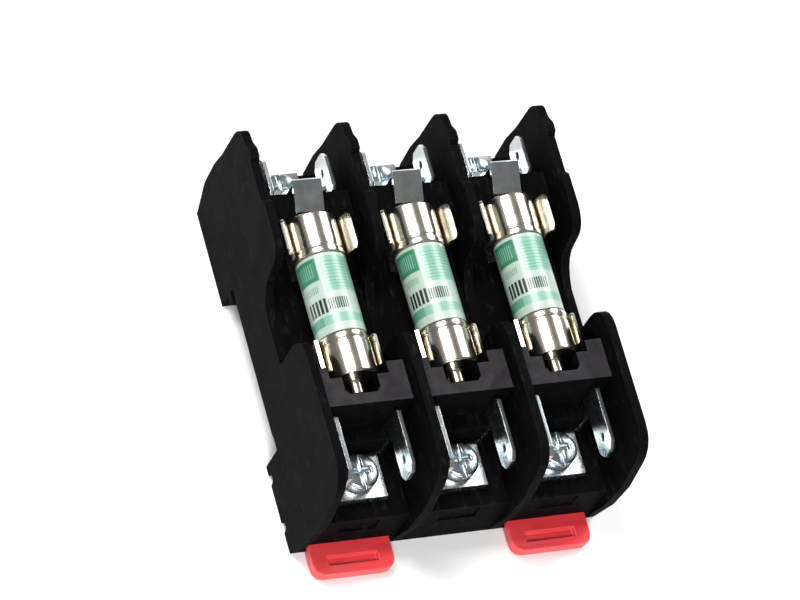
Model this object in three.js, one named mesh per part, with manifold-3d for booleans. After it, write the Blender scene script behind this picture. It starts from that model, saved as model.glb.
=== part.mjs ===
// Three-pole cartridge fuse block for a 35 mm mounting rail, with its three rejection-type fuses.
// Millimetres. +X runs along the rail, +Y along each fuse, +Z out of the panel.
// The origin is the centre of the face that rests on the rail's two flanges.
import * as THREE from 'three';
import { mergeVertices } from 'three/addons/utils/BufferGeometryUtils.js';
import Module from 'manifold-3d';

const wasm = await Module();
wasm.setup();

// ---------- driving dimensions ----------
const POLES = 3;
const PITCH = 21;
const GAP = 0.3; // left between pieces that touch on the real object
const ROUND = 20; // sides of a round piece
const SMALL_ROUND = 12; // sides of a hole, a post or a rivet
const CUT = 0.5; // how far a cutting solid runs past the face that it opens

const fuse = {
  radius: 5.15, // 13/32 inch ferrule
  bodyLength: 34.9,
  tipRadius: 1.6,
  tipLength: 3.2,
  capLength: 8.8,
  capWall: 0.35,
  capEnd: 0.8,
  capEdge: 0.5,
  labelWall: 0.2,
  tubeWall: 1.1,
  elementWidth: 1.6,
  elementThickness: 0.4,
  axisHeight: 18.8, // above the rail seat
  centreY: 3.95, // middle of the body
};

const rail = { width: 35, flange: 1, depth: 7.5 };
const railFit = { play: 0.2, lipReach: 2.2, lipThickness: 1.9, lipGap: 0.3, panelGap: 0.3 };

const wall = {
  thickness: 1.8,
  height: 7.9, // of the front edges, above the fuse's axis
  lowReach: 2.6, // past the base's lower end
  highReach: 2.9, // past the base's upper end
  notchSetback: 5.6, // from the barrier to the finger notch
  notchCover: 10.4, // how far the wall covers the fuse's upper end
  notchHeight: 0.65, // of the notch's floor, above the clips' floor
  shoulder: 5, // length of the rounded corner beside the finger notch
  lowBulge: 12, // height at which the lower end reaches furthest
  highBulge: 8, // height at which the upper end reaches furthest
  dipDepth: 1.2,
  dipLength: 8,
  dipInset: 9.6, // from the wall's upper end
};

const base = {
  floorThickness: 2.4,
  wellFloor: 5.4, // top of the floor under each terminal
  lowReach: 16.7, // past the barrier
  highReach: 11.1, // past the support
  endThickness: 1.8,
  channelWall: 2,
  ribThickness: 2,
  pocketWall: 1.4, // beside each back pocket
  seatInset: 3.1, // from the rail's edge to the seat's relieved border
  seatRelief: 0.3,
  seatRib: 4,
  pocketRib: 1.6, // left across the ends of the seat's pockets
};

const footNotch = { depth: 1.6, half: 0.7, slope: 0.4, fromEnd: [15.6, 5.4] };
const marker = { half: 4, depth: 0.5, low: 0.2, high: 4.2 };
const barrier = {
  overlap: 2.1, // how far it reaches along the ferrule
  length: 8.3,
  height: 3.4, // above the fuse's axis
  slotHalf: 3.65,
  slotDepth: 3.7,
  slotDrop: 4.8, // from the fuse's axis to the slot's floor
  slotCorner: 0.9,
};
const support = { gap: 0.5, length: 5.6, height: 0.4 };
const strapCover = { half: 5.2, length: 3.6, height: 12.5 }; // ledge over the lower strap, beside the barrier

const clipThickness = 0.7;
const upperClip = { length: 7.8, straight: 2, flare: 1.5, flareHeight: 2.3 };
const lowerClip = { length: 6.5, straight: 1.2, flare: 0.4, flareHeight: 0.9 };

const strap = { thickness: 0.9, width: 8 };
const plate = { width: 11.8 };
const blade = {
  thickness: 0.8,
  places: [-6, 7], // of the two blades, from the pole's middle
  rise: 6.8, // above the terminal's plate
  height: 6.35,
  tipTaper: 1.4,
  corner: 0.8,
  holeRadius: 0.9,
  holeInset: 3.6,
};
const tongueSpec = {
  half: 3,
  edge: 0.4,
  overhang: 0.7,
  tipDrop: 2.6,
  height: 4.5, // above the support
  thickness: 1.1,
  shoulderHalf: 5.4,
};
const screwSpec = {
  headRadius: 3.75,
  headHeight: 2.6,
  headEdge: 0.7,
  shankRadius: 2.05,
  endHeight: -2.2,
  slotWidth: 1.1,
  slotDepth: 1.1,
};
const saddleSpec = { width: 10.6, length: 8, thickness: 1, hookDrop: 0.6, hookWidth: 0.8 };
const rivetSpec = { headRadius: 1.9, headHeight: 0.5, shankRadius: 1.1, tailRadius: 2, tailHeight: 0.7 };
const holeGap = 0.35; // round a shank

const latchSpec = {
  sideGap: 1.1, // between the latch and each wall
  thickness: 2.5,
  reach: 6.5, // past the base's lower end
  cornerRadius: 2.6,
  noseLength: 2.3,
  seatGap: 0.2, // between the arms' ends and the rail's edge
  travel: 3.5,
  ledge: 0.8, // how far each side's ledge reaches under the latch
  ledgeThickness: 1,
  grooveLength: 10.4,
  grooveWidth: 1.9,
  grooveDepth: 0.8,
  grooveOffset: 0.4,
  armWidth: 1.7,
  armSlot: 1.2,
  armLength: 12,
  armSetback: 1,
};

// ---------- sizes that follow ----------
const poleX = Array.from({ length: POLES }, (_, i) => (i - (POLES - 1) / 2) * PITCH);
const wallX = Array.from({ length: POLES + 1 }, (_, i) => (i - POLES / 2) * PITCH);
const poleRoom = PITCH - wall.thickness;
const back = -(rail.depth - railFit.panelGap);
const fuseHigh = fuse.centreY + fuse.bodyLength / 2;
const fuseLow = fuse.centreY - fuse.bodyLength / 2;
const barrierHigh = fuseLow + barrier.overlap;
const barrierLow = barrierHigh - barrier.length;
const barrierFront = fuse.axisHeight + barrier.height;
const supportLow = fuseHigh + support.gap;
const supportHigh = supportLow + support.length;
const supportFront = fuse.axisHeight + support.height;
const baseLow = barrierLow - base.lowReach;
const baseHigh = supportHigh + base.highReach;
const wallFront = fuse.axisHeight + wall.height;
const clipInner = fuse.radius + GAP;
const clipOuter = clipInner + clipThickness;
const floorTop = fuse.axisHeight - clipOuter - GAP;
const floorUnder = floorTop - base.floorThickness;
const strapTop = floorTop;
const plateTop = base.wellFloor + GAP + strap.thickness;
const saddleTop = plateTop + GAP + saddleSpec.thickness;
const headUnder = saddleTop + GAP;
const channelHalf = rail.width / 2 + railFit.play;
const seatReach = channelHalf - base.seatInset; // half the seat's width across the rail
const lipFront = -(rail.flange + railFit.lipGap);
const latchFront = back + GAP + latchSpec.thickness;
const latchWidth = poleRoom - 2 * latchSpec.sideGap;
const latchEnd = baseLow - latchSpec.reach;
const tunnelTop = latchFront + GAP;
const bladeLow = plateTop + blade.rise;
const ends = [
  {
    name: 'upper',
    outward: 1,
    clip: upperClip,
    clipCentre: fuseHigh - upperClip.length / 2 - support.gap,
    dropY: (supportLow + supportHigh) / 2,
    plateStart: supportHigh + GAP,
    bladeEnd: supportHigh + 8.9,
    riserLength: 2.6,
    screwY: supportHigh + 5.7,
  },
  {
    name: 'lower',
    outward: -1,
    clip: lowerClip,
    clipCentre: barrierHigh + GAP + lowerClip.length / 2,
    dropY: (barrierLow + barrierHigh) / 2,
    plateStart: barrierLow - GAP,
    bladeEnd: barrierLow - 13.7,
    riserLength: 3.4,
    screwY: barrierLow - 8.7,
  },
];

// ---------- solids ----------
function toSolid(geometry) {
  const bare = geometry.index ? geometry.toNonIndexed() : geometry.clone();
  bare.deleteAttribute('normal');
  bare.deleteAttribute('uv');
  const merged = mergeVertices(bare, 1e-5);
  const index = merged.index.array;
  const kept = [];
  for (let i = 0; i < index.length; i += 3) {
    const [a, b, c] = [index[i], index[i + 1], index[i + 2]];
    if (a !== b && b !== c && c !== a) kept.push(a, b, c);
  }
  const vertProperties = new Float32Array(merged.attributes.position.array);
  return new wasm.Manifold(new wasm.Mesh({ numProp: 3, vertProperties, triVerts: new Uint32Array(kept) }));
}

function toGeometry(solid) {
  const mesh = solid.getMesh();
  const geometry = new THREE.BufferGeometry();
  geometry.setAttribute('position', new THREE.BufferAttribute(new Float32Array(mesh.vertProperties), 3));
  geometry.setIndex(new THREE.BufferAttribute(new Uint32Array(mesh.triVerts), 1));
  geometry.computeVertexNormals();
  return geometry;
}

function box(x0, x1, y0, y1, z0, z1) {
  const geometry = new THREE.BoxGeometry(x1 - x0, y1 - y0, z1 - z0);
  geometry.translate((x0 + x1) / 2, (y0 + y1) / 2, (z0 + z1) / 2);
  return toSolid(geometry);
}

// A box centred on x.
const bar = (x, half, y0, y1, z0, z1) =>
  box(x - half, x + half, Math.min(y0, y1), Math.max(y0, y1), z0, z1);

function cylinder(x, y, z0, z1, radius, sides = ROUND) {
  const geometry = new THREE.CylinderGeometry(radius, radius, z1 - z0, sides);
  geometry.rotateX(Math.PI / 2);
  geometry.translate(x, y, (z0 + z1) / 2);
  return toSolid(geometry);
}

// An outline in Y and Z, made x0 to x1 thick.
function slabX(shape, x0, x1) {
  const geometry = new THREE.ExtrudeGeometry(shape, { depth: x1 - x0, bevelEnabled: false, curveSegments: 5 });
  const turn = new THREE.Matrix4().set(0, 0, 1, x0, 1, 0, 0, 0, 0, 1, 0, 0, 0, 0, 0, 1);
  return toSolid(geometry.applyMatrix4(turn));
}

// An outline in X and Z, made y0 to y1 thick.
function slabY(shape, y0, y1) {
  const geometry = new THREE.ExtrudeGeometry(shape, { depth: y1 - y0, bevelEnabled: false, curveSegments: 7 });
  const turn = new THREE.Matrix4().set(1, 0, 0, 0, 0, 0, -1, y1, 0, 1, 0, 0, 0, 0, 0, 1);
  return toSolid(geometry.applyMatrix4(turn));
}

// An outline in X and Y, made z0 to z1 thick.
function slabZ(shape, z0, z1) {
  const geometry = new THREE.ExtrudeGeometry(shape, { depth: z1 - z0, bevelEnabled: false, curveSegments: 5 });
  geometry.translate(0, 0, z0);
  return toSolid(geometry);
}

// A profile of [radius, y] pairs turned about the fuse's axis.
function turned(x, profile) {
  const points = profile.map(([r, y]) => new THREE.Vector2(r, y));
  const geometry = new THREE.LatheGeometry(points, ROUND);
  geometry.translate(x, 0, fuse.axisHeight);
  return toSolid(geometry);
}

function outline(points) {
  const shape = new THREE.Shape();
  points.forEach(([a, b], i) => (i ? shape.lineTo(a, b) : shape.moveTo(a, b)));
  shape.closePath();
  return shape;
}

const union = (solids) => solids.reduce((a, b) => a.add(b));
const cutAll = (solid, tools) => tools.reduce((a, b) => a.subtract(b), solid);

// ---------- housing ----------
// A wall's foot: from the rail channel to the lower end, with small notches in the back edge.
function drawFoot(s) {
  const { depth, half, slope, fromEnd } = footNotch;
  s.moveTo(-channelHalf, back);
  for (const inset of fromEnd) {
    const y = baseLow + inset;
    s.lineTo(y + half + slope, back);
    s.lineTo(y + half, back + depth);
    s.lineTo(y - half, back + depth);
    s.lineTo(y - half - slope, back);
  }
  s.lineTo(baseLow, back);
}

// The lower end with its rounded front corner, and the steep side of the finger notch.
function drawLowerPart(s, end, notch, notchFloor) {
  s.lineTo(end + 0.5, wall.lowBulge - 9);
  s.lineTo(end, wall.lowBulge);
  s.lineTo(end + 1, wallFront - 6.2);
  s.quadraticCurveTo(end + 1.8, wallFront, end + 7, wallFront);
  s.lineTo(notch - wall.shoulder, wallFront);
  s.quadraticCurveTo(notch - 0.2, wallFront - 0.4, notch, wallFront - 6);
  s.lineTo(notch, notchFloor + 1.2);
  s.quadraticCurveTo(notch, notchFloor, notch + 1.2, notchFloor);
}

// The sloping side of the finger notch, a shallow dip in the front edge, and the stepped upper end.
function drawUpperPart(s, end, notch, notchFloor) {
  const { dipDepth, dipLength, dipInset, highBulge } = wall;
  const dipEnd = end - dipInset;
  s.lineTo(notch - 7, notchFloor);
  s.quadraticCurveTo(notch - 0.6, notchFloor + 1.6, notch - 0.4, notchFloor + 7);
  s.lineTo(notch, wallFront - 3.4);
  s.quadraticCurveTo(notch + 0.9, wallFront - 0.2, notch + 5.2, wallFront);
  s.lineTo(dipEnd - dipLength - 1, wallFront);
  s.lineTo(dipEnd - dipLength, wallFront - dipDepth);
  s.lineTo(dipEnd, wallFront - dipDepth);
  s.lineTo(dipEnd + 0.8, wallFront);
  s.lineTo(dipEnd + 2.6, wallFront);
  s.lineTo(dipEnd + 4.6, wallFront - 1.3);
  s.lineTo(dipEnd + 6.7, wallFront - 1.6);
  s.quadraticCurveTo(end - 1.2, wallFront - 2.2, end - 0.9, wallFront - 5);
  s.lineTo(end - 0.7, highBulge + 5.5);
  s.lineTo(end, highBulge);
  s.lineTo(end - 0.2, highBulge - 7);
}

// One upright wall: high at both ends, low in the middle so that fingers reach the fuse.
function wallOutline() {
  const s = new THREE.Shape();
  const notchFloor = floorTop + wall.notchHeight;
  drawFoot(s);
  drawLowerPart(s, baseLow - wall.lowReach, barrierHigh + wall.notchSetback, notchFloor);
  drawUpperPart(s, baseHigh + wall.highReach, fuseHigh - wall.notchCover, notchFloor);
  s.lineTo(baseHigh, back);
  s.lineTo(channelHalf, back);
  s.lineTo(channelHalf, 0);
  s.lineTo(-channelHalf, 0);
  s.closePath();
  return s;
}

// Everything that runs straight across the poles, as boxes of [y0, y1, z0, z1].
function crossPieces(x0, x1) {
  const channelOuter = channelHalf + base.channelWall;
  return [
    [-channelOuter, channelOuter, 0, floorTop],
    [barrierLow, barrierHigh, 0, barrierFront],
    [supportLow, supportHigh, 0, supportFront],
    [baseLow, barrierLow, back, base.wellFloor],
    [supportHigh - CUT, baseHigh, back, base.wellFloor],
    [channelHalf, channelOuter, back, floorTop],
    [-channelOuter, -channelHalf, back, floorTop],
    [channelOuter - CUT, supportHigh, back, floorTop],
  ].map(([y0, y1, z0, z1]) => box(x0, x1, y0, y1, z0, z1));
}

// Fixed lip that hooks behind the rail's upper flange.
function fixedLip(x0, x1) {
  const tip = channelHalf - railFit.lipReach;
  const lip = outline([
    [channelHalf + CUT, lipFront],
    [tip + 0.4, lipFront],
    [tip, lipFront - 0.5],
    [tip, lipFront - railFit.lipThickness + 0.7],
    [tip + 0.9, lipFront - railFit.lipThickness],
    [channelHalf + CUT, lipFront - railFit.lipThickness],
  ]);
  return slabX(lip, x0, x1);
}

// Shallow relief along both borders of the rail seat.
const seatRelief = (x0, x1) => union([-1, 1].map((side) => {
  const [y0, y1] = [seatReach, channelHalf].map((y) => side * y).sort((a, b) => a - b);
  return box(x0, x1, y0, y1, -CUT, base.seatRelief);
}));

// Hollows moulded into the back, two side by side in each pole, with a rib between them.
function backPockets(x) {
  const { ribThickness, pocketWall, pocketRib, seatRib, endThickness, channelWall } = base;
  const near = ribThickness / 2;
  const pocketWidth = poleRoom / 2 - near - pocketWall;
  const wellUnder = base.wellFloor - base.floorThickness;
  const tools = [];
  const spans = [
    [seatRib / 2, seatReach - pocketRib, 0, floorUnder],
    [pocketRib - seatReach, -seatRib / 2, 0, floorUnder],
    [channelHalf + channelWall, baseHigh - endThickness, back, wellUnder],
    [baseLow + endThickness, -channelHalf - channelWall, back, wellUnder],
  ];
  for (const side of [-1, 1]) {
    for (const [y0, y1, z0, z1] of spans) {
      tools.push(bar(x + side * (near + pocketWidth / 2), pocketWidth / 2, y0, y1, z0 - CUT, z1));
    }
  }
  return union(tools);
}

// Post under each terminal that the screw's end runs down into.
function screwPost(x, end) {
  const bottom = end.outward > 0 ? back : tunnelTop;
  return cylinder(x, end.screwY, bottom, base.wellFloor, screwSpec.shankRadius + 1.9, SMALL_ROUND);
}

// Room for the strap as it leaves the clip, goes down and comes out under the terminal.
function strapRoom(x, end) {
  const half = strap.width / 2 + GAP;
  const under = strapTop - strap.thickness - GAP;
  const inner = end.clipCentre - end.outward * (end.clip.length / 2 + 1 + GAP);
  const dropNear = end.dropY - end.outward * (strap.thickness / 2 + GAP);
  const dropFar = end.dropY + end.outward * (strap.thickness / 2 + GAP);
  const exit = end.plateStart + end.outward * CUT;
  return union([
    bar(x, half, inner, dropFar, under, strapTop + GAP),
    bar(x, half, dropNear, dropFar, base.wellFloor, strapTop + GAP),
    bar(x, half, dropNear, exit, base.wellFloor, plateTop + GAP),
  ]);
}

// The barrier's notch: wide for the ferrule's end, narrow for the rejection tip.
function barrierNotch(x) {
  const ferruleStop = fuseLow - GAP;
  const slotEnd = ferruleStop - barrier.slotDepth;
  const half = barrier.slotHalf;
  const corner = barrier.slotCorner;
  const slot = outline([
    [x - half, ferruleStop + CUT],
    [x - half, slotEnd + corner],
    [x - half + corner, slotEnd],
    [x + half - corner, slotEnd],
    [x + half, slotEnd + corner],
    [x + half, ferruleStop + CUT],
  ]);
  return union([
    bar(x, clipOuter, ferruleStop, barrierHigh + CUT, floorTop, barrierFront + CUT),
    slabZ(slot, fuse.axisHeight - barrier.slotDrop, barrierFront + CUT),
  ]);
}

// Tunnel in the foot for a latch, open to the back, with a ledge along each side to hold it in.
function latchTunnel(x) {
  const half = latchWidth / 2 + GAP;
  const outer = baseLow - CUT;
  const noseEnd = -channelHalf - latchSpec.travel - GAP;
  const floor = back + latchSpec.ledgeThickness;
  return union([
    bar(x, half, outer, -channelHalf + CUT, floor, tunnelTop),
    bar(x, half - latchSpec.ledge, outer, -channelHalf + CUT, back - CUT, tunnelTop),
    bar(x, half, noseEnd, -channelHalf + CUT, floor, lipFront + GAP),
  ]);
}

// The housing is one moulding. Its upright walls and the bays between them are separate solids, face to face.
function housingWall(x) {
  const [x0, x1] = [x - wall.thickness / 2, x + wall.thickness / 2];
  return slabX(wallOutline(), x0, x1).add(fixedLip(x0, x1)).subtract(seatRelief(x0 - CUT, x1 + CUT));
}

function housingBay(x) {
  const [x0, x1] = [x - poleRoom / 2, x + poleRoom / 2];
  const shell = union([...crossPieces(x0, x1), fixedLip(x0, x1)]).subtract(backPockets(x));
  const { half, length, height } = strapCover;
  const cover = bar(x, half, barrierLow - length, barrierLow + CUT, plateTop + GAP, height);
  const body = union([shell, cover, ...ends.map((end) => screwPost(x, end))]);
  const tools = [
    seatRelief(x0 - CUT, x1 + CUT),
    barrierNotch(x),
    ...ends.map((end) => strapRoom(x, end)),
    ...ends.map((end) => screwHole(x, end, back - CUT, plateTop + CUT)),
    ...ends.map((end) => rivetHole(x, end)),
    ...ends.map((end) => rivetTailRoom(x, end)),
    markerRecess(x),
  ];
  if (latchX.includes(x)) tools.push(latchTunnel(x));
  return cutAll(body, tools);
}

// Shallow recess in the lower end face for a marker.
const markerRecess = (x) =>
  bar(x, marker.half, baseLow - CUT, baseLow + marker.depth, marker.low, marker.high);

const screwHole = (x, end, z0, z1) =>
  cylinder(x, end.screwY, z0, z1, screwSpec.shankRadius + holeGap, SMALL_ROUND);

const rivetHole = (x, end) =>
  cylinder(x, end.clipCentre, floorUnder - CUT, floorTop + CUT, rivetSpec.shankRadius + holeGap, SMALL_ROUND);

const rivetTailRoom = (x, end) =>
  cylinder(x, end.clipCentre, -CUT, floorUnder, rivetSpec.tailRadius + GAP, SMALL_ROUND);

// ---------- metal ----------
// Spring clip: half a ring under the ferrule, upright cheeks, and lips that flare to guide it in.
function clipOutline(x, { straight, flare, flareHeight }) {
  const s = new THREE.Shape();
  const z = fuse.axisHeight;
  const lipTop = z + straight + flareHeight;
  s.moveTo(x + clipOuter, z);
  s.lineTo(x + clipOuter, z + straight);
  s.lineTo(x + clipOuter + flare, lipTop - 0.2);
  s.lineTo(x + clipOuter + flare - clipThickness, lipTop);
  s.lineTo(x + clipInner, z + straight + 0.1);
  s.lineTo(x + clipInner, z);
  s.absarc(x, z, clipInner, 0, Math.PI, true);
  s.lineTo(x - clipInner, z + straight + 0.1);
  s.lineTo(x - clipOuter - flare + clipThickness, lipTop);
  s.lineTo(x - clipOuter - flare, lipTop - 0.2);
  s.lineTo(x - clipOuter, z + straight);
  s.lineTo(x - clipOuter, z);
  s.absarc(x, z, clipOuter, Math.PI, Math.PI * 2, false);
  return s;
}

function springClip(x, end) {
  const half = end.clip.length / 2;
  const solid = slabY(clipOutline(x, end.clip), end.clipCentre - half, end.clipCentre + half);
  const seat = rivetSpec.headRadius + holeGap;
  return solid.subtract(cylinder(x, end.clipCentre, floorTop, fuse.axisHeight - 3, seat, SMALL_ROUND));
}

function clipRivet(x, end) {
  const headTop = fuse.axisHeight - clipInner;
  const under = headTop - rivetSpec.headHeight;
  const tailTop = floorUnder - GAP;
  const tailEnd = tailTop - rivetSpec.tailHeight;
  return union([
    cylinder(x, end.clipCentre, under, headTop, rivetSpec.headRadius, SMALL_ROUND),
    cylinder(x, end.clipCentre, tailEnd, headTop, rivetSpec.shankRadius, SMALL_ROUND),
    cylinder(x, end.clipCentre, tailEnd, tailTop, rivetSpec.tailRadius, SMALL_ROUND),
  ]);
}

// Side view of a strap: flat under the clip, down through the housing, flat under the screw.
function strapBody(x, end) {
  const t = strap.thickness;
  const o = end.outward;
  const inner = end.clipCentre - o * (end.clip.length / 2 + 1);
  const half = strap.width / 2;
  const drop = end.dropY;
  return union([
    bar(x, half, inner, drop + (o * t) / 2, strapTop - t, strapTop),
    bar(x, half, drop - (o * t) / 2, drop + (o * t) / 2, plateTop - t, strapTop),
    bar(x, half, drop - (o * t) / 2, end.plateStart + o * 2, plateTop - t, plateTop),
  ]);
}

// Quick-connect blade on an upright arm, parallel to the walls.
function bladeOutline(end) {
  const o = end.outward;
  const { height, tipTaper, corner } = blade;
  const low = bladeLow;
  const top = low + height;
  const start = end.plateStart;
  const armEnd = start + o * end.riserLength;
  return outline([
    [start, plateTop - strap.thickness],
    [armEnd, plateTop - strap.thickness],
    [armEnd, low - 0.6],
    [armEnd + o * 0.6, low],
    [end.bladeEnd - o * tipTaper, low],
    [end.bladeEnd, low + tipTaper],
    [end.bladeEnd, top - tipTaper],
    [end.bladeEnd - o * tipTaper, top],
    [start + o * corner, top],
    [start, top - corner],
  ]);
}

function bladeAt(x, end) {
  const solid = slabX(bladeOutline(end), x - blade.thickness / 2, x + blade.thickness / 2);
  const hole = new THREE.Shape();
  const holeY = end.bladeEnd - end.outward * blade.holeInset;
  hole.absarc(holeY, bladeLow + blade.height / 2, blade.holeRadius, 0, Math.PI * 2);
  return solid.subtract(slabX(hole, x - blade.thickness, x + blade.thickness));
}

// Tongue that hooks over the support and shows as a plate just past the fuse's upper end.
function tongue(x) {
  const t = strap.thickness;
  const { half, edge, overhang, tipDrop, height, thickness } = tongueSpec;
  const y = supportHigh + GAP;
  const tip = supportLow + overhang;
  const top = supportFront + height;
  const hook = outline([
    [y, plateTop - t],
    [y + t, plateTop - t],
    [y + t, top - edge],
    [y + t - edge, top],
    [tip, top - tipDrop],
    [tip, top - tipDrop - 1],
    [y, top - thickness],
  ]);
  const shoulders = bar(x, tongueSpec.shoulderHalf, y, y + t, plateTop - t, supportFront);
  return union([slabX(hook, x - half, x + half), shoulders]);
}

function terminal(x, end) {
  const o = end.outward;
  const under = plateTop - strap.thickness;
  const [left, right] = blade.places.map((place) => x + place);
  const armHalf = (right - left + blade.thickness) / 2;
  const plateEnd = end.screwY + o * (saddleSpec.length / 2 - GAP);
  const parts = [
    strapBody(x, end),
    bar(x, plate.width / 2, end.plateStart, plateEnd, under, plateTop),
    bar((left + right) / 2, armHalf, end.plateStart, end.plateStart + o * end.riserLength, under, plateTop),
    bladeAt(left, end),
    bladeAt(right, end),
  ];
  if (o > 0) parts.push(tongue(x));
  const rivetRoom = rivetSpec.shankRadius + holeGap;
  return cutAll(union(parts), [
    screwHole(x, end, under - CUT, plateTop + CUT),
    cylinder(x, end.clipCentre, strapTop - strap.thickness - CUT, strapTop + CUT, rivetRoom, SMALL_ROUND),
  ]);
}

// Pressure plate that the screw pulls down on a wire.
function saddle(x, end) {
  const { width, length, thickness, hookDrop, hookWidth } = saddleSpec;
  const under = saddleTop - thickness;
  const edge = end.screwY + (end.outward * length) / 2;
  const solid = union([
    bar(x, width / 2, end.screwY - length / 2, end.screwY + length / 2, under, saddleTop),
    bar(x, width / 2, edge, edge + end.outward * hookWidth, under - hookDrop - GAP, saddleTop),
  ]);
  return solid.subtract(screwHole(x, end, under - CUT, saddleTop + CUT));
}

function screw(x, end) {
  const { headRadius, headHeight, headEdge, shankRadius, endHeight, slotWidth, slotDepth } = screwSpec;
  const top = headUnder + headHeight;
  const profile = [
    [0, endHeight],
    [shankRadius - 0.5, endHeight],
    [shankRadius, endHeight + 0.6],
    [shankRadius, headUnder],
    [headRadius, headUnder],
    [headRadius, top - headEdge],
    [headRadius - headEdge, top - 0.15],
    [0, top],
  ];
  const points = profile.map(([r, y]) => new THREE.Vector2(r, y));
  const geometry = new THREE.LatheGeometry(points, ROUND);
  geometry.rotateX(Math.PI / 2);
  geometry.translate(x, end.screwY, 0);
  const solid = toSolid(geometry);
  const slotFloor = top - slotDepth;
  return cutAll(solid, [
    bar(x, slotWidth / 2, end.screwY - headRadius, end.screwY + headRadius, slotFloor, top + CUT),
    bar(x, headRadius * 0.55, end.screwY - slotWidth / 2, end.screwY + slotWidth / 2, slotFloor, top + CUT),
  ]);
}

// ---------- latch ----------
const latchX = [poleX[0], poleX[POLES - 1]];
const latchInner = -channelHalf + latchSpec.seatGap;

function latchOutline(x) {
  const half = latchWidth / 2;
  const r = latchSpec.cornerRadius;
  const s = new THREE.Shape();
  s.moveTo(x - half, latchInner);
  s.lineTo(x - half, latchEnd + r);
  s.quadraticCurveTo(x - half, latchEnd, x - half + r, latchEnd);
  s.lineTo(x + half - r, latchEnd);
  s.quadraticCurveTo(x + half, latchEnd, x + half, latchEnd + r);
  s.lineTo(x + half, latchInner);
  s.closePath();
  return s;
}

// Nose that hooks behind the rail's lower flange, joined to the latch by a neck under it.
function latchNose(x) {
  const { thickness, noseLength, armWidth, armSlot } = latchSpec;
  const half = latchWidth / 2 - armWidth - armSlot;
  const neck = latchInner - 1.8;
  const rise = latchInner - 0.2;
  const tip = latchInner + noseLength;
  const under = latchFront - thickness;
  const nose = outline([
    [neck, under],
    [tip - 1.4, under],
    [tip, latchFront - 0.9],
    [tip, lipFront - 0.4],
    [tip - 0.4, lipFront],
    [rise, lipFront],
    [rise, latchFront - 0.2],
    [neck, latchFront - 0.2],
  ]);
  return slabX(nose, x - half, x + half);
}

function latch(x) {
  const { thickness, armWidth, armSlot, armLength, armSetback, ledge, ledgeThickness } = latchSpec;
  const half = latchWidth / 2;
  const body = slabZ(latchOutline(x), latchFront - thickness, latchFront).add(latchNose(x));
  const grooveY = (baseLow + latchEnd) / 2 - latchSpec.grooveOffset;
  const grooveHalf = latchSpec.grooveWidth / 2;
  const grooveFloor = latchFront - latchSpec.grooveDepth;
  const under = latchFront - thickness - CUT;
  const over = latchFront + CUT;
  const inner = latchInner + CUT;
  const rebateTop = back + ledgeThickness + GAP;
  const rebate = ledge + GAP;
  const tools = [bar(x, latchSpec.grooveLength / 2, grooveY - grooveHalf, grooveY + grooveHalf, grooveFloor, over)];
  for (const side of [-1, 1]) {
    const rebateX = x + side * (half + CUT - rebate / 2);
    const slotX = x + side * (half - armWidth - armSlot / 2);
    const tipX = x + side * (half - armWidth / 2);
    tools.push(bar(rebateX, rebate / 2 + CUT, baseLow - GAP, inner, under, rebateTop));
    tools.push(bar(slotX, armSlot / 2, latchInner - armLength, inner, under, over));
    tools.push(bar(tipX, armWidth / 2 + CUT, latchInner - armSetback, inner, under, over));
  }
  return cutAll(body, tools);
}

// ---------- fuse ----------
const tubeOuter = fuse.radius - fuse.capWall - GAP;
const tubeInner = tubeOuter - fuse.tubeWall;
const innerHigh = fuseHigh - fuse.capEnd - GAP;
const innerLow = fuseLow + fuse.capEnd + GAP;

const tube = (x) =>
  turned(x, [
    [tubeInner, innerLow],
    [tubeOuter, innerLow],
    [tubeOuter, innerHigh],
    [tubeInner, innerHigh],
    [tubeInner, innerLow],
  ]);

function label(x) {
  const low = fuseLow + fuse.capLength + GAP;
  const high = fuseHigh - fuse.capLength - GAP;
  const inner = tubeOuter + GAP;
  const outer = inner + fuse.labelWall;
  return turned(x, [
    [inner, low],
    [outer, low],
    [outer, high],
    [inner, high],
    [inner, low],
  ]);
}

// A drawn cap, its closed end outwards; the lower one carries the rejection tip.
function cap(x, end) {
  const o = end.outward;
  const outer = o > 0 ? fuseHigh : fuseLow;
  const { radius, capEdge, capEnd, capWall, capLength, tipRadius, tipLength } = fuse;
  const tip = o > 0 ? [[0, outer]] : [
    [0, outer - tipLength],
    [tipRadius - 0.3, outer - tipLength],
    [tipRadius, outer - tipLength + 0.3],
    [tipRadius, outer],
  ];
  const profile = [
    ...tip,
    [radius - capEdge, outer],
    [radius, outer - o * capEdge],
    [radius, outer - o * capLength],
    [radius - capWall, outer - o * capLength],
    [radius - capWall, outer - o * capEnd],
    [0, outer - o * capEnd],
  ];
  return turned(x, o > 0 ? profile.reverse() : profile);
}

const element = (x) =>
  box(
    x - fuse.elementWidth / 2, x + fuse.elementWidth / 2, innerLow, innerHigh,
    fuse.axisHeight - fuse.elementThickness / 2, fuse.axisHeight + fuse.elementThickness / 2,
  );

// Quartz filler round the element.
function filler(x) {
  const radius = tubeInner - GAP;
  const room = bar(
    x, fuse.elementWidth / 2 + GAP, innerLow - CUT, innerHigh + CUT,
    fuse.axisHeight - fuse.elementThickness / 2 - GAP, fuse.axisHeight + fuse.elementThickness / 2 + GAP,
  );
  return turned(x, [[0, innerLow], [radius, innerLow], [radius, innerHigh], [0, innerHigh]]).subtract(room);
}

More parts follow.
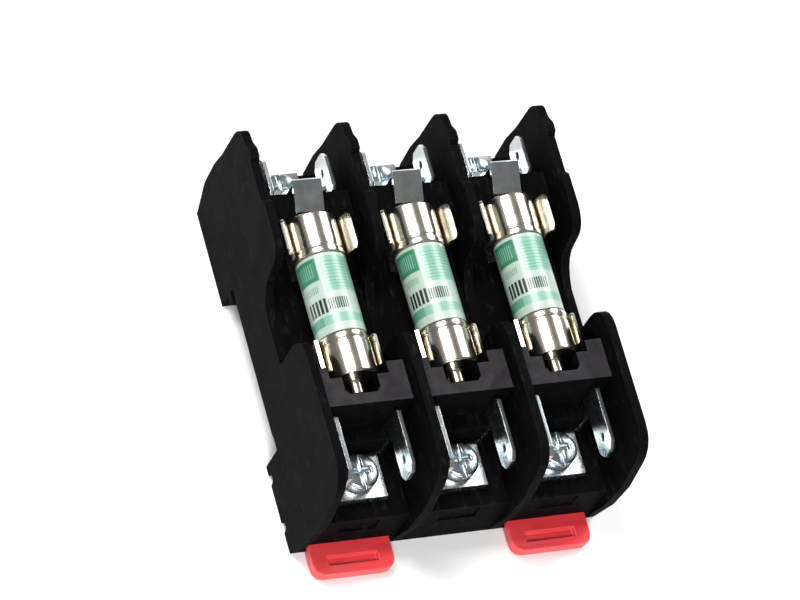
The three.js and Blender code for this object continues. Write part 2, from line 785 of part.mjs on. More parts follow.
// ---------- finishes ----------
const finish = (color, roughness, metalness) => new THREE.MeshStandardMaterial({ color, roughness, metalness });
const materials = {
  housing: finish(0x17171a, 0.45, 0),
  latch: finish(0xe8323c, 0.35, 0),
  zinc: finish(0xb9c4c6, 0.28, 1),
  nickel: finish(0xe2ddd0, 0.18, 1),
  glassTube: finish(0xd8ddc8, 0.5, 0),
  label: finish(0xd7ece2, 0.4, 0),
  quartz: finish(0xd9d4c6, 0.9, 0),
  silver: finish(0xd5d5d8, 0.3, 1),
  brass: finish(0xb89a5a, 0.35, 1),
};

// ---------- assembly ----------
const group = new THREE.Group();

function addPart(name, solid, material) {
  const mesh = new THREE.Mesh(toGeometry(solid), material);
  mesh.name = name;
  group.add(mesh);
}

wallX.forEach((x, i) => addPart(`housing_wall_${i + 1}`, housingWall(x), materials.housing));
poleX.forEach((x, i) => addPart(`housing_bay_${i + 1}`, housingBay(x), materials.housing));
latchX.forEach((x, i) => addPart(`rail_latch_${['left', 'right'][i]}`, latch(x), materials.latch));
poleX.forEach((x, i) => {
  const pole = i + 1;
  for (const end of ends) {
    addPart(`${end.name}_clip_${pole}`, springClip(x, end), materials.nickel);
    addPart(`${end.name}_clip_rivet_${pole}`, clipRivet(x, end), materials.brass);
    addPart(`${end.name}_terminal_${pole}`, terminal(x, end), materials.zinc);
    addPart(`${end.name}_pressure_plate_${pole}`, saddle(x, end), materials.zinc);
    addPart(`${end.name}_screw_${pole}`, screw(x, end), materials.zinc);
    addPart(`fuse_${end.name}_cap_${pole}`, cap(x, end), materials.nickel);
  }
  addPart(`fuse_tube_${pole}`, tube(x), materials.glassTube);
  addPart(`fuse_label_${pole}`, label(x), materials.label);
  addPart(`fuse_element_${pole}`, element(x), materials.silver);
  addPart(`fuse_filler_${pole}`, filler(x), materials.quartz);
});

export default group;
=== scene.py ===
import math

import bmesh
import bpy
from mathutils import Matrix, Vector


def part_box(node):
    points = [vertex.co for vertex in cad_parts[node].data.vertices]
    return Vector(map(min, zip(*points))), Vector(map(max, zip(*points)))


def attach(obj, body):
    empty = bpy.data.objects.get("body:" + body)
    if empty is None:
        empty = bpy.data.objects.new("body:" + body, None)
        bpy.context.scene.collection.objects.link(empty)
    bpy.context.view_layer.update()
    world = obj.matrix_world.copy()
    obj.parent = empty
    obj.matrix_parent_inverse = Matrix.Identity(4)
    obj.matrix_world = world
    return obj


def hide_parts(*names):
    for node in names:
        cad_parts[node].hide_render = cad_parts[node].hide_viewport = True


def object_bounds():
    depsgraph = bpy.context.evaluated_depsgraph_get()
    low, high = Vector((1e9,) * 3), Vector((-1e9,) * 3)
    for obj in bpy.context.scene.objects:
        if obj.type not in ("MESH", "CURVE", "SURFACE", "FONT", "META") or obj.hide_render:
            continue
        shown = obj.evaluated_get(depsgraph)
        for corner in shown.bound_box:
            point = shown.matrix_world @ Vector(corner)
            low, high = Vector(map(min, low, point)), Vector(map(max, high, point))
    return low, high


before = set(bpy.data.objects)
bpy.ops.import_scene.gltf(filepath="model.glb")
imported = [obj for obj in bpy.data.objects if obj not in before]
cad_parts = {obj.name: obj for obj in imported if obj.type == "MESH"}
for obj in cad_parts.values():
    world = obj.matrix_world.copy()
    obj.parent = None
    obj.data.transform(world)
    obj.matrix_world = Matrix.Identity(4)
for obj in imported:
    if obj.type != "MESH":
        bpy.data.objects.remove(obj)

CAD_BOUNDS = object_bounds()
MM = 0.001
POLES = (1, 2, 3)
ENDS = ("upper", "lower")
WALLS = (1, 2, 3, 4)
CLEARANCE = 0.3 * MM  # between pieces that touch on the real object
TIGHT = 0.005 * MM  # corners nearer than this are one corner
BROAD_FACE = 40 * MM * MM  # larger faces of the housing are plainly flat
NOISE_ROUGHNESS = 0.55


# ---------- places taken from the frame ----------
def middle(node):
    low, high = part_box(node)
    return (low + high) / 2


def pole_x(pole):
    return middle(f"fuse_tube_{pole}").x


FUSE_Z = middle("fuse_tube_1").z
FERRULE_RADIUS = (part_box("fuse_upper_cap_1")[1].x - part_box("fuse_upper_cap_1")[0].x) / 2
BARRIER_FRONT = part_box("housing_bay_1")[1].z  # its upward faces get a painted sheen, a lighter grey standing in for a lamp's reflection


# ---------- mesh helpers ----------
def piece(name, mesh_data, material, body, slot, *nodes):
    """Makes a finished piece from a bmesh, which rides on a body and stands for CAD nodes."""
    mesh = bpy.data.meshes.new(name)
    mesh_data.to_mesh(mesh)
    mesh_data.free()
    mesh.materials.append(material)
    made = bpy.data.objects.new(name, mesh)
    bpy.context.scene.collection.objects.link(made)
    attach(made, body)
    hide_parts(*nodes)
    return made


def copy_of(*nodes):
    """A merged copy of CAD nodes, with the flat faces' inner edges dissolved."""
    bm = bmesh.new()
    for node in nodes:
        bm.from_mesh(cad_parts[node].data)
    bmesh.ops.remove_doubles(bm, verts=bm.verts, dist=TIGHT)
    bmesh.ops.recalc_face_normals(bm, faces=bm.faces)
    flatten(bm)
    return bm


def flatten(bm):
    bmesh.ops.dissolve_limit(bm, angle_limit=math.radians(0.6), verts=bm.verts, edges=bm.edges)


def soften(bm, width, sharper_than, segments=2, keep=None):
    """Rounds every edge that turns by more than an angle, and marks the rounding as worn by handling."""
    worn = bm.faces.layers.float.new("worn")
    limit = math.radians(sharper_than)
    edges = [e for e in bm.edges if e.is_manifold and e.calc_face_angle(0) > limit]
    if keep:
        edges = [e for e in edges if keep(e)]
    rounded = bmesh.ops.bevel(
        bm, geom=edges, offset=width, offset_type="OFFSET", segments=segments,
        profile=0.5, affect="EDGES", clamp_overlap=True, material=-1,
    )
    for face in rounded["faces"]:
        face[worn] = 1.0


def smooth(bm, sharper_than=40):
    """Smooth shading, with a crease left at every edge that still turns sharply."""
    limit = math.radians(sharper_than)
    for face in bm.faces:
        face.smooth = True
    for edge in bm.edges:
        edge.smooth = edge.is_manifold and edge.calc_face_angle(0) < limit


def weigh_normals(made):
    weighted = made.modifiers.new("even_normals", "WEIGHTED_NORMAL")
    weighted.keep_sharp = True
    weighted.weight = 90


def put_in_order(bm):
    """Sorts a mesh's elements by place, because spin and extrude list them differently on each run."""
    skew = Vector((1, math.e, math.pi))  # no two corners are level along it
    bm.verts.sort(key=lambda v: v.co.dot(skew))
    bm.verts.index_update()
    count = len(bm.verts)

    def rank(element):
        """One number from the lowest three corners, which no other edge or face shares."""
        number = 0
        for corner in sorted(v.index for v in element.verts)[:3]:
            number = number * count + corner
        return number

    bm.edges.sort(key=rank)
    bm.faces.sort(key=rank)


def spun(profile, axis_point, axis, start_direction, steps):
    """Turns a profile of (radius, distance) pairs, closed on itself or on the axis, about that axis."""
    axis = Vector(axis)
    across = Vector(start_direction)
    bm = bmesh.new()
    points = [bm.verts.new(Vector(axis_point) + across * r + axis * d) for r, d in profile]
    edges = [bm.edges.new((a, b)) for a, b in zip(points, points[1:])]
    bmesh.ops.spin(
        bm, geom=points + edges, cent=axis_point, axis=axis,
        angle=math.tau, steps=steps, use_merge=True, use_duplicate=False,
    )
    bmesh.ops.remove_doubles(bm, verts=bm.verts, dist=TIGHT)
    bmesh.ops.recalc_face_normals(bm, faces=bm.faces)
    put_in_order(bm)
    return bm


def arc(centre, radius, start, end, steps):
    """Points along an arc in the profile's plane, angles in degrees."""
    angles = [math.radians(start + (end - start) * i / steps) for i in range(steps + 1)]
    return [(centre[0] + radius * math.cos(a), centre[1] + radius * math.sin(a)) for a in angles]


def cutter(bm, name):
    """A short-lived object for a boolean."""
    mesh = bpy.data.meshes.new(name)
    bm.to_mesh(mesh)
    bm.free()
    made = bpy.data.objects.new(name, mesh)
    bpy.context.scene.collection.objects.link(made)
    return made


def combine(bm, tools, operation="DIFFERENCE"):
    """Cuts tool meshes out of a mesh, or joins them to it, and gives a clean bmesh back."""
    body = cutter(bm, "work_body")
    others = [cutter(tool, f"work_tool_{i}") for i, tool in enumerate(tools)]
    for other in others:
        step = body.modifiers.new("step", "BOOLEAN")
        step.operation = operation
        step.solver = "EXACT"
        step.object = other
    bpy.context.view_layer.update()
    evaluated = body.evaluated_get(bpy.context.evaluated_depsgraph_get())
    result = bmesh.new()
    result.from_mesh(evaluated.to_mesh())
    evaluated.to_mesh_clear()
    for used in [body, *others]:
        mesh = used.data
        bpy.data.objects.remove(used)
        bpy.data.meshes.remove(mesh)
    bmesh.ops.remove_doubles(result, verts=result.verts, dist=TIGHT)
    flatten(result)
    return result


def block(low, high):
    """A box between two corners."""
    low, high = Vector(low), Vector(high)
    bm = bmesh.new()
    bmesh.ops.create_cube(bm, size=1)
    bmesh.ops.scale(bm, vec=high - low, verts=bm.verts)
    bmesh.ops.translate(bm, vec=(low + high) / 2, verts=bm.verts)
    return bm


# ---------- material helpers ----------
class Nodes:
    """Small helper that builds one material's node tree."""

    def __init__(self, name):
        self.material = bpy.data.materials.new(name)
        self.material.use_nodes = True
        self.tree = self.material.node_tree
        self.shader = self.tree.nodes["Principled BSDF"]
        self.where = self.add("ShaderNodeTexCoord").outputs["Object"]

    def add(self, kind, **settings):
        node = self.tree.nodes.new(kind)
        for key, value in settings.items():
            setattr(node, key, value)
        return node

    def link(self, source, target):
        self.tree.links.new(source, target)

    def set(self, **values):
        for key, value in values.items():
            self.shader.inputs[key.replace("_", " ")].default_value = value

    def noise(self, scale, detail, stretch=(1, 1, 1)):
        """Cloudy pattern on the piece's own coordinates; scale is per metre."""
        place = self.add("ShaderNodeMapping")
        place.inputs["Scale"].default_value = stretch
        self.link(self.where, place.inputs["Vector"])
        node = self.add("ShaderNodeTexNoise")
        node.inputs["Scale"].default_value = scale
        node.inputs["Detail"].default_value = detail
        node.inputs["Roughness"].default_value = NOISE_ROUGHNESS
        self.link(place.outputs["Vector"], node.inputs["Vector"])
        return node.outputs["Fac"]

    def ramp(self, value, stops):
        node = self.add("ShaderNodeValToRGB")
        ramp = node.color_ramp
        while len(ramp.elements) < len(stops):
            ramp.elements.new(0.5)
        for element, (position, color) in zip(ramp.elements, stops):
            element.position = position
            element.color = (*color, 1) if isinstance(color, tuple) else (color, color, color, 1)
        self.link(value, node.inputs["Fac"])
        return node.outputs["Color"]

    def mix(self, factor, first, second):
        node = self.add("ShaderNodeMix", data_type="RGBA")
        for value, socket in ((factor, 0), (first, 6), (second, 7)):
            if isinstance(value, bpy.types.NodeSocket):
                self.link(value, node.inputs[socket])
            else:
                node.inputs[socket].default_value = (*value, 1) if isinstance(value, tuple) else value
        return node.outputs[2]

    def math(self, operation, first, second=0.0, third=0.0, clamp=False):
        node = self.add("ShaderNodeMath", operation=operation, use_clamp=clamp)
        for value, socket in ((first, 0), (second, 1), (third, 2)):
            if isinstance(value, bpy.types.NodeSocket):
                self.link(value, node.inputs[socket])
            else:
                node.inputs[socket].default_value = value
        return node.outputs[0]

    def color(self, source):
        self.link(source, self.shader.inputs["Base Color"])

    def rough(self, source, low, high):
        spread = self.add("ShaderNodeMapRange")
        spread.inputs["To Min"].default_value = low
        spread.inputs["To Max"].default_value = high
        self.link(source, spread.inputs["Value"])
        self.link(spread.outputs["Result"], self.shader.inputs["Roughness"])

    def bump(self, height, strength, distance, under=None):
        node = self.add("ShaderNodeBump")
        node.inputs["Strength"].default_value = strength
        node.inputs["Distance"].default_value = distance
        self.link(height, node.inputs["Height"])
        if under:
            self.link(under, node.inputs["Normal"])
        self.link(node.outputs["Normal"], self.shader.inputs["Normal"])
        return node.outputs["Normal"]

    def edges(self, strength):
        """Patchy wear along the rounded edges."""
        worn = self.add("ShaderNodeAttribute", attribute_name="worn").outputs["Fac"]
        patches = self.ramp(self.noise(260, 4), [(0.35, 0.2 * strength), (0.65, strength)])
        return self.math("MULTIPLY", worn, patches)


# ---------- materials ----------
def moulded_black():
    """Black glass-filled thermoplastic: fine moulded grain, cloudy gloss, edges worn a little lighter, and
    a painted sheen of lighter grey on the barriers' upward front faces.
    """
    n = Nodes("moulded_black")
    cloud = n.noise(70, 4)
    grain = n.noise(3800, 2)
    fibres = n.noise(900, 3, stretch=(1, 0.35, 1))
    base = n.ramp(cloud, [(0.3, (0.0016, 0.0016, 0.0020)), (0.75, (0.0026, 0.0026, 0.0030))])
    flecked = n.mix(n.ramp(fibres, [(0.56, 0.0), (0.74, 0.35)]), base, (0.024, 0.024, 0.026))
    # painted sheen: the marked upward barrier faces get a lighter grey, as if a lamp shone on them
    painted_sheen = n.add("ShaderNodeAttribute", attribute_name="painted_sheen").outputs["Fac"]
    painted_sheen_grey = n.ramp(n.noise(420, 4), [(0.3, (0.020, 0.019, 0.021)), (0.7, (0.034, 0.032, 0.036))])
    flecked = n.mix(painted_sheen, flecked, painted_sheen_grey)
    n.color(n.mix(n.edges(0.8), flecked, (0.042, 0.040, 0.044)))
    n.rough(n.noise(160, 4), 0.6, 0.78)
    first = n.bump(grain, 0.25, 0.00004)
    n.bump(n.noise(320, 3), 0.14, 0.00012, first)
    n.set(Specular_IOR_Level=0.03)
    return n.material


def red_nylon():
    """Red nylon: satin gloss, slightly paler where it is thin and worn, with soft flow streaks."""
    n = Nodes("red_nylon")
    streaks = n.noise(90, 3, stretch=(1, 4, 1))
    base = n.ramp(streaks, [(0.3, (0.70, 0.035, 0.045)), (0.7, (0.84, 0.065, 0.075))])
    n.color(n.mix(n.edges(0.5), base, (0.9, 0.14, 0.14)))
    n.rough(n.noise(260, 3), 0.24, 0.4)
    first = n.bump(n.noise(2600, 2), 0.15, 0.00004)
    n.bump(n.noise(240, 2), 0.12, 0.00012, first)
    n.set(Subsurface_Weight=0.08, Subsurface_Scale=0.001)
    return n.material


def plated(name, tones, shine, streak, tint=()):
    """Plated metal: tones are its two colours, shine its roughness range, streak its rolling lines."""
    n = Nodes(name)
    cloud = n.noise(240, 4)
    base = n.ramp(cloud, [(0.3, tones[0]), (0.7, tones[1])])
    for scale, shade in zip((130, 190), tint):
        patches = n.ramp(n.noise(scale, 2), [(0.5, 0.0), (0.72, 0.55)])
        base = n.mix(patches, base, shade)
    n.color(base)
    lines = n.noise(700, 3, stretch=streak)
    n.rough(n.mix(0.5, n.noise(420, 3), lines), *shine)
    first = n.bump(lines, 0.07, 0.00003)
    n.bump(n.noise(420, 2), 0.05, 0.00006, first)
    n.set(Metallic=1.0)
    return n.material


def printed_sleeve():
    """Label film, printed twice round: a white ground, mint and green blocks and rows of dark bars."""
    n = Nodes("printed_sleeve")
    split = n.add("ShaderNodeSeparateXYZ")
    n.link(n.add("ShaderNodeUVMap", uv_map="wrap").outputs["UV"], split.inputs["Vector"])
    round_the_tube, along = split.outputs["X"], split.outputs["Y"]
    repeats = n.math("FRACT", n.math("MULTIPLY_ADD", round_the_tube, 2.0, 0.64))

    def band(value, low, high, edge=0.006):
        rise = n.math("DIVIDE", n.math("SUBTRACT", value, low), edge, clamp=True)
        fall = n.math("DIVIDE", n.math("SUBTRACT", high, value), edge, clamp=True)
        return n.math("MULTIPLY", rise, fall)

    def patch(left, right, low, high):
        return n.math("MULTIPLY", band(repeats, left, right, 0.012), band(along, low, high))

    def stripes(value, count, share):
        return band(n.math("FRACT", n.math("MULTIPLY", value, float(count))), 0.0, share, 0.08)

    def printed(look, shape, ink, marks=None):
        return n.mix(n.math("MULTIPLY", shape, marks) if marks else shape, look, ink)

    white, mint, teal = (0.36, 0.45, 0.39), (0.18, 0.36, 0.28), (0.08, 0.25, 0.18)
    green, dark = (0.026, 0.17, 0.09), (0.008, 0.013, 0.013)
    look = n.mix(n.ramp(n.noise(260, 3), [(0.35, 0.0), (0.75, 0.3)]), white, (0.30, 0.40, 0.34))
    look = printed(look, band(along, 0.10, 0.22), mint)
    look = printed(look, patch(0.02, 0.36, 0.10, 0.22), teal)
    look = printed(look, patch(0.48, 0.99, 0.50, 0.96), mint)
    look = printed(look, patch(0.09, 0.45, 0.67, 0.96), green)
    look = printed(look, patch(0.50, 0.97, 0.54, 0.92), teal, stripes(along, 24, 0.34))
    look = printed(look, patch(0.13, 0.41, 0.72, 0.91), mint, stripes(repeats, 30, 0.5))
    look = printed(look, patch(0.16, 0.456, 0.25, 0.44), dark, stripes(repeats, 17, 0.72))
    look = printed(look, patch(0.467, 0.74, 0.27, 0.42), dark, stripes(repeats, 34, 0.72))
    look = printed(look, patch(0.16, 0.40, 0.52, 0.61), teal, stripes(repeats, 40, 0.5))
    scuffs = n.ramp(n.noise(900, 4, stretch=(1, 0.3, 1)), [(0.66, 0.0), (0.75, 0.5)])
    n.color(n.mix(scuffs, look, white))
    n.rough(n.noise(500, 3), 0.28, 0.45)
    n.bump(n.noise(1500, 2), 0.12, 0.00004)
    n.set(Coat_Weight=0.25, Coat_Roughness=0.2)
    return n.material


def woven_tube():
    """Resin-bonded glass cloth: a pale weave under a glossy skin."""
    n = Nodes("woven_tube")
    weave = n.add("ShaderNodeTexBrick", offset=0.5)
    weave.inputs["Color1"].default_value = (0.62, 0.66, 0.52, 1)
    weave.inputs["Color2"].default_value = (0.70, 0.73, 0.60, 1)
    weave.inputs["Mortar"].default_value = (0.48, 0.52, 0.40, 1)
    weave.inputs["Scale"].default_value = 900
    n.link(n.where, weave.inputs["Vector"])
    n.color(weave.outputs["Color"])
    n.rough(n.noise(400, 2), 0.3, 0.5)
    n.bump(weave.outputs["Fac"], 0.2, 0.00005)
    return n.material


def packed_sand():
    """Compacted quartz: clear and cream grains."""
    n = Nodes("packed_sand")
    grains = n.add("ShaderNodeTexVoronoi")
    grains.inputs["Scale"].default_value = 2600
    n.link(n.where, grains.inputs["Vector"])
    n.color(n.ramp(grains.outputs["Distance"], [(0.0, (0.80, 0.76, 0.66)), (0.8, (0.58, 0.54, 0.46))]))
    n.rough(grains.outputs["Distance"], 0.5, 0.9)
    n.bump(grains.outputs["Distance"], 0.6, 0.0002)
    return n.material


BLACK = moulded_black()
RED = red_nylon()
NICKEL = plated("bright_nickel", ((0.60, 0.55, 0.47), (0.76, 0.71, 0.62)), (0.13, 0.26), (1, 0.15, 1))
CLIP_NICKEL = plated("spring_nickel", ((0.56, 0.52, 0.44), (0.74, 0.69, 0.60)), (0.18, 0.34), (1, 0.2, 1))
ZINC = plated(
    "bright_zinc", ((0.42, 0.46, 0.49), (0.60, 0.64, 0.66)), (0.16, 0.36), (1, 0.2, 1),
    tint=((0.42, 0.56, 0.62), (0.62, 0.62, 0.50)),
)
SCREW_ZINC = plated(
    "screw_zinc", ((0.38, 0.44, 0.48), (0.56, 0.62, 0.66)), (0.14, 0.34), (1, 1, 1),
    tint=((0.38, 0.52, 0.60), (0.60, 0.62, 0.50)),
)
BRASS = plated("plain_brass", ((0.52, 0.37, 0.16), (0.68, 0.52, 0.27)), (0.2, 0.4), (1, 1, 1))
SILVER = plated("fuse_silver", ((0.72, 0.72, 0.72), (0.86, 0.85, 0.83)), (0.2, 0.4), (1, 0.2, 1))
SLEEVE = printed_sleeve()
GLASS_CLOTH = woven_tube()
SAND = packed_sand()


# ---------- housing and latches ----------
def widened(node, extra):
    """A copy of a bay, reaching a hair into the walls beside it so that both can be joined."""
    bm = copy_of(node)
    low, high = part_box(node)
    for vert in bm.verts:
        if abs(vert.co.x - low.x) < TIGHT:
            vert.co.x -= extra
        elif abs(vert.co.x - high.x) < TIGHT:
            vert.co.x += extra
    return bm


def cover_corner(pole):
    """Runs the ledge over the lower strap on, up to the right-hand blade."""
    x = pole_x(pole)
    left, right = 5 * MM, 6.3 * MM
    lower_edge, upper_edge = -23.3 * MM, -19.4 * MM
    under, front = 6.9 * MM, 12.5 * MM
    return block((x + left, lower_edge, under), (x + right, upper_edge, front))


def housing():
    """The whole moulding: its walls and bays joined, with every edge slightly rounded."""
    walls = [f"housing_wall_{n}" for n in WALLS]
    bays = [f"housing_bay_{n}" for n in POLES]
    covers = [cover_corner(pole) for pole in POLES]
    overlap, rounding, reach = 0.4 * MM, 0.28 * MM, 0.3 * MM
    bm = combine(copy_of(*walls), [widened(bay, overlap) for bay in bays] + covers, "UNION")
    soften(bm, rounding, sharper_than=32)
    smooth(bm)
    # painted sheen: upward faces on the barrier fronts are marked for a lighter grey, as if lit from above
    painted_sheen = bm.faces.layers.float.new("painted_sheen")
    for face in bm.faces:
        if face.calc_area() > BROAD_FACE:
            face.smooth = False
        on_barrier = abs(face.calc_center_median().z - BARRIER_FRONT) < reach
        face[painted_sheen] = 1.0 if on_barrier and face.normal.z > 0.9 else 0.0
    weigh_normals(piece("housing", bm, BLACK, "block", "housing", *walls, *bays))


def latch(side):
    """Rail latch with softly rounded edges."""
    node = f"rail_latch_{side}"
    bm = copy_of(node)
    soften(bm, 0.42 * MM, segments=3, sharper_than=32)
    smooth(bm)
    weigh_normals(piece(f"latch_{side}", bm, RED, f"latch_{side}", "latch", node))


# ---------- fuse ----------
def ferrule(pole, end):
    """Drawn cap with a rounded rim; the lower one has the small rejection tip."""
    node = f"fuse_{end}_cap_{pole}"
    low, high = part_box(node)
    out = 1 if end == "upper" else -1
    radius = (high.x - low.x) / 2
    rim, edge, fillet = 0.55 * MM, 0.12 * MM, 0.25 * MM
    wall, end_wall = 0.35 * MM, 0.8 * MM
    tip_length = 0 if end == "upper" else 3.2 * MM
    length = (high.y - low.y) - tip_length
    face = high.y if end == "upper" else low.y + tip_length
    profile = [(0, tip_length)]
    if tip_length:
        tip, nose = 1.6 * MM, 0.35 * MM
        profile += arc((tip - nose, tip_length - nose), nose, 90, 0, 4)
        profile += arc((tip + fillet, fillet), fillet, 180, 270, 3)
    profile += arc((radius - rim, -rim), rim, 90, 0, 6)
    crimp = length - 1.5 * MM
    groove = 0.16 * MM
    shoulder, floor = 0.5 * MM, 0.15 * MM
    profile += [(radius, -crimp + shoulder), (radius - groove, -crimp + floor)]
    profile += [(radius - groove, -crimp - floor), (radius, -crimp - shoulder)]
    profile += arc((radius - edge, -length + edge), edge, 0, -90, 3)
    profile += [(radius - wall, -length), (radius - wall, -end_wall), (0, -end_wall)]
    centre = (pole_x(pole), face, FUSE_Z)
    bm = spun(profile, centre, (0, out, 0), (0, 0, 1), steps=72)
    smooth(bm, 50)
    weigh_normals(piece(f"ferrule_{end}_{pole}", bm, NICKEL, f"fuse_{pole}", "ferrule_nickel", node))


def sleeve(pole):
    """Label film round the tube, wrapped so that its marks face outwards."""
    node = f"fuse_label_{pole}"
    low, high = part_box(node)
    film, turn_in = 0.2 * MM, 0.08 * MM
    outer = (high.x - low.x) / 2
    inner = outer - film
    length = high.y - low.y
    profile = [(inner, 0), (outer - turn_in, 0), (outer, turn_in)]
    profile += [(outer, length - turn_in), (outer - turn_in, length), (inner, length), (inner, 0)]
    bm = spun(profile, (pole_x(pole), low.y, FUSE_Z), (0, 1, 0), (0, 0, -1), steps=96)
    wrap = bm.loops.layers.uv.new("wrap")
    for face in bm.faces:
        centre = face.calc_center_median()
        middle_angle = math.atan2(centre.x - pole_x(pole), centre.z - FUSE_Z)
        for loop in face.loops:
            at = loop.vert.co
            angle = math.atan2(at.x - pole_x(pole), at.z - FUSE_Z)
            angle += math.tau * round((middle_angle - angle) / math.tau)
            loop[wrap].uv = (angle / math.tau + 0.5, (at.y - low.y) / length)
    smooth(bm)
    piece(f"label_{pole}", bm, SLEEVE, f"fuse_{pole}", "fuse_label", node)


def tube(pole):
    """Plain tube between the two ferrules."""
    node = f"fuse_tube_{pole}"
    low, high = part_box(node)
    tube_wall = 1.1 * MM
    outer = (high.x - low.x) / 2
    inner = outer - tube_wall
    length = high.y - low.y
    profile = [(inner, 0), (outer, 0), (outer, length), (inner, length), (inner, 0)]
    bm = spun(profile, (pole_x(pole), low.y, FUSE_Z), (0, 1, 0), (0, 0, 1), steps=64)
    smooth(bm)
    piece(f"tube_{pole}", bm, GLASS_CLOTH, f"fuse_{pole}", "fuse_tube", node)


# ---------- clips and rivets ----------
def spring_clip(pole, end):
    """Spring strip bent half round the ferrule, with upright cheeks and flared lips."""
    node = f"{end}_clip_{pole}"
    low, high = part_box(node)
    x = pole_x(pole)
    thickness, bend_radius, lip_corner = 0.7 * MM, 0.7 * MM, 1.1 * MM
    rivet_seat = 2.25 * MM
    cutter_depth = 6 * MM
    inner = FERRULE_RADIUS + CLEARANCE
    flare = (high.x - low.x) / 2 - inner - thickness
    flare_height = 2.3 * MM if end == "upper" else 0.9 * MM
    bend = high.z - flare_height
    bm = bmesh.new()
    corner = [
        bm.verts.new((x + inner + flare, low.y, high.z)),
        bm.verts.new((x + inner, low.y, bend)),
        bm.verts.new((x + inner, low.y, FUSE_Z)),
    ]
    for a, b in zip(corner, corner[1:]):
        bm.edges.new((a, b))
    turned = bmesh.ops.spin(
        bm, geom=[corner[-1]], cent=(x, 0, FUSE_Z), axis=(0, 1, 0),
        angle=math.pi, steps=28, use_duplicate=False,
    )
    last = [v for v in turned["geom_last"] if isinstance(v, bmesh.types.BMVert)][0]
    rise = bm.verts.new((x - inner, low.y, bend))
    lip = bm.verts.new((x - inner - flare, low.y, high.z))
    bm.edges.new((last, rise))
    bm.edges.new((rise, lip))
    bmesh.ops.bevel(
        bm, geom=[corner[1], rise], offset=bend_radius, offset_type="OFFSET", segments=5,
        profile=0.5, affect="VERTICES", clamp_overlap=True, material=-1,
    )
    grown = bmesh.ops.extrude_edge_only(bm, edges=bm.edges[:])
    moved = [v for v in grown["geom"] if isinstance(v, bmesh.types.BMVert)]
    bmesh.ops.translate(bm, vec=(0, high.y - low.y, 0), verts=moved)
    tips = [v for v in bm.verts if abs(v.co.z - high.z) < TIGHT]
    bmesh.ops.bevel(
        bm, geom=tips, offset=lip_corner, offset_type="OFFSET", segments=5,
        profile=0.5, affect="VERTICES", clamp_overlap=True, material=-1,
    )
    for vert in bm.verts:
        vert.co.z = min(vert.co.z, high.z)
    bmesh.ops.recalc_face_normals(bm, faces=bm.faces)
    inside = next(f for f in bm.faces if abs(f.calc_center_median().z - FUSE_Z) < inner * 0.8)
    centre = inside.calc_center_median()
    if inside.normal.dot(Vector((x - centre.x, 0, FUSE_Z - centre.z))) < 0:
        bmesh.ops.reverse_faces(bm, faces=bm.faces)
    bmesh.ops.solidify(bm, geom=bm.faces[:], thickness=thickness)
    bmesh.ops.recalc_face_normals(bm, faces=bm.faces)
    put_in_order(bm)
    seat = middle(f"{end}_clip_rivet_{pole}")
    hole = bmesh.new()
    bmesh.ops.create_cone(
        hole, cap_ends=True, segments=40, radius1=rivet_seat, radius2=rivet_seat, depth=cutter_depth,
        matrix=Matrix.Translation((x, seat.y, low.z)),
    )
    bm = combine(bm, [hole])
    soften(bm, 0.12 * MM, sharper_than=50)
    smooth(bm)
    weigh_normals(piece(f"spring_{end}_{pole}", bm, CLIP_NICKEL, "block", "clip_nickel", node))


def rivet(pole, end):
    """Rivet with a low domed head under the fuse and a rolled tail behind the floor."""
    node = f"{end}_clip_rivet_{pole}"
    low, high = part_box(node)
    shank, head, tail = 1.1 * MM, 1.9 * MM, 2.0 * MM
    head_height, rim_height, dome = 0.5 * MM, 0.3 * MM, 0.06 * MM
    height = high.z - low.z
    profile = [(0, 0), (tail - 0.3 * MM, 0), (tail, 0.25 * MM), (tail - 0.1 * MM, 0.65 * MM)]
    profile.append((shank, 0.7 * MM))
    profile += [(shank, height - head_height), (head, height - head_height), (head, height - rim_height)]
    profile += [(head - 0.35 * MM, height - dome), (0, height)]
    bm = spun(profile, (pole_x(pole), middle(node).y, low.z), (0, 0, 1), (1, 0, 0), steps=40)
    smooth(bm, 50)
    piece(f"rivet_{end}_{pole}", bm, BRASS, "block", "rivet_brass", node)


# ---------- terminals ----------
def terminal(pole, end):
    """Stamped strap, plate and blades, with the burrs rolled off."""
    node = f"{end}_terminal_{pole}"
    bm = copy_of(node)
    soften(bm, 0.16 * MM, sharper_than=32)
    smooth(bm)
    weigh_normals(piece(f"terminal_{end}_{pole}", bm, ZINC, "block", "terminal_zinc", node))


def pressure_plate(pole, end):
    """Clamp plate held under the screw's head."""
    node = f"{end}_pressure_plate_{pole}"
    bm = copy_of(node)
    soften(bm, 0.2 * MM, sharper_than=32)
    smooth(bm)
    weigh_normals(piece(f"plate_{end}_{pole}", bm, ZINC, f"{end}_plate_{pole}", "terminal_zinc", node))


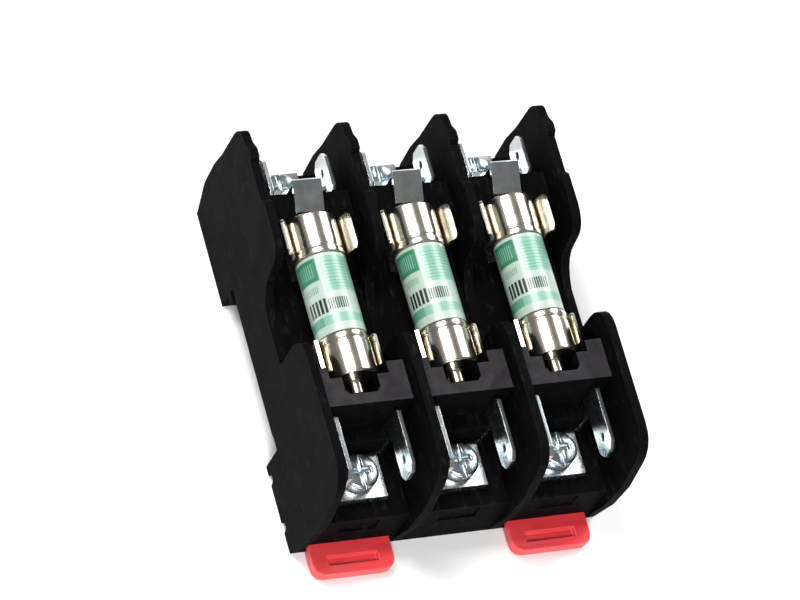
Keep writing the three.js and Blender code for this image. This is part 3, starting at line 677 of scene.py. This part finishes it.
def screw(pole, end):
    """Binding-head screw with a full slot, a cross recess and a cut thread."""
    node = f"{end}_screw_{pole}"
    low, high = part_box(node)
    x, y = pole_x(pole), middle(node).y
    head_radius = (high.x - low.x) / 2
    head_height, shank = 2.6 * MM, 2.05 * MM
    thread_start, thread_depth = 0.7 * MM, 0.38 * MM
    rim, crown = 0.25 * MM, 0.7 * MM
    height = high.z - low.z
    under = height - head_height
    profile = [(0, 0), (shank - 0.5 * MM, 0), (shank - 0.25 * MM, 0.5 * MM)]
    pitch = 0.794 * MM
    turns = int((under - 1.2 * MM) / pitch)
    for i in range(turns):
        base = thread_start + i * pitch
        profile += [(shank, base + 0.1 * MM), (shank, base + 0.22 * MM)]
        profile.append((shank - thread_depth, base + 0.5 * MM))
    profile += [(shank, under - 0.15 * MM), (shank, under), (head_radius - rim, under)]
    profile += arc((head_radius - rim, under + rim), rim, -90, 0, 3)
    profile += arc((head_radius - crown, height - 0.75 * MM), crown, 0, 75, 6)
    profile += [(head_radius * 0.45, height - 0.02 * MM), (0, height)]
    bm = spun(profile, (x, y, low.z), (0, 0, 1), (1, 0, 0), steps=56)
    top, deep, half = high.z + 0.5 * MM, high.z - 1.1 * MM, 0.55 * MM
    reach = head_radius * 0.55  # of the cross recess
    slots = [
        block((x - half, y - head_radius - MM, deep), (x + half, y + head_radius + MM, top)),
        block((x - reach, y - half, deep), (x + reach, y + half, top)),
    ]
    bm = combine(bm, slots)
    above = high.z - 1.3 * MM  # only the slots' edges and the head's crown are rounded
    soften(bm, 0.1 * MM, sharper_than=60, keep=lambda e: min(v.co.z for v in e.verts) > above)
    smooth(bm, 35)
    piece(f"screw_{end}_{pole}", bm, SCREW_ZINC, f"{end}_screw_{pole}", "screw_zinc", node)


# ---------- the assembly ----------
housing()
for side in ("left", "right"):
    latch(side)
for pole in POLES:
    sleeve(pole)
    tube(pole)
    for end in ENDS:
        ferrule(pole, end)
        spring_clip(pole, end)
        rivet(pole, end)
        terminal(pole, end)
        pressure_plate(pole, end)
        screw(pole, end)
    for name, material in (("fuse_element", SILVER), ("fuse_filler", SAND)):
        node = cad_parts[f"{name}_{pole}"]
        node.data.materials.clear()
        node.data.materials.append(material)


# ---------- floor, light and camera ----------
AIM = Vector((0, 0, 0.01))  # the point that the lights face


def studio_floor():
    bm = bmesh.new()
    half_width, drop = 3.0, 0.02 * MM
    bmesh.ops.create_grid(bm, x_segments=1, y_segments=1, size=half_width)
    bmesh.ops.translate(bm, vec=(0, 0, CAD_BOUNDS[0][2] - drop), verts=bm.verts)
    mesh = bpy.data.meshes.new("floor")
    bm.to_mesh(mesh)
    bm.free()
    floor = bpy.data.objects.new("floor", mesh)
    bpy.context.scene.collection.objects.link(floor)
    n = Nodes("pale_floor")
    n.color(n.ramp(n.noise(8, 2), [(0.3, (0.86, 0.86, 0.86)), (0.7, (0.9, 0.9, 0.9))]))
    n.set(Roughness=0.8)
    mesh.materials.append(n.material)


def soft_light(name, place, size, power, tint=(1, 1, 1)):
    """A soft box aimed at the block, its long side level with the block's width."""
    lamp = bpy.data.lights.new(name, "AREA")
    lamp.shape = "RECTANGLE"
    lamp.size, lamp.size_y = size
    lamp.energy = power
    lamp.color = tint
    made = bpy.data.objects.new(name, lamp)
    away = (Vector(place) - AIM).normalized()
    along = (Vector((1, 0, 0)) - away * away.x).normalized()
    turn = Matrix((along, away.cross(along), away)).transposed()
    made.matrix_world = Matrix.Translation(place) @ turn.to_4x4()
    bpy.context.scene.collection.objects.link(made)


def studio():
    studio_floor()
    world = bpy.data.worlds.new("studio")
    world.use_nodes = True
    background = world.node_tree.nodes["Background"]
    background.inputs["Color"].default_value = (1, 1, 1, 1)
    background.inputs["Strength"].default_value = 0.2
    bpy.context.scene.world = world
    soft_light("key", (-0.30, 0.32, 0.80), (0.42, 0.34), 8.5, (1.0, 0.98, 0.95))
    soft_light("fill", (0.62, 0.42, 0.55), (0.35, 0.45), 5, (0.95, 0.97, 1.0))
    soft_light("low", (-0.25, -0.62, 0.60), (0.40, 0.25), 7.2)
    bpy.context.scene.view_settings.view_transform = "Standard"


def camera():
    lens = bpy.data.cameras.new("camera")
    lens.lens = 225
    lens.sensor_width = 36
    lens.clip_start = 0.01
    made = bpy.data.objects.new("camera", lens)
    made.location = (-0.3786, -0.3821, 0.8264)
    made.rotation_euler = [math.radians(a) for a in (29.047, -17.532, -15.528)]
    bpy.context.scene.collection.objects.link(made)
    bpy.context.scene.camera = made


studio()
camera()
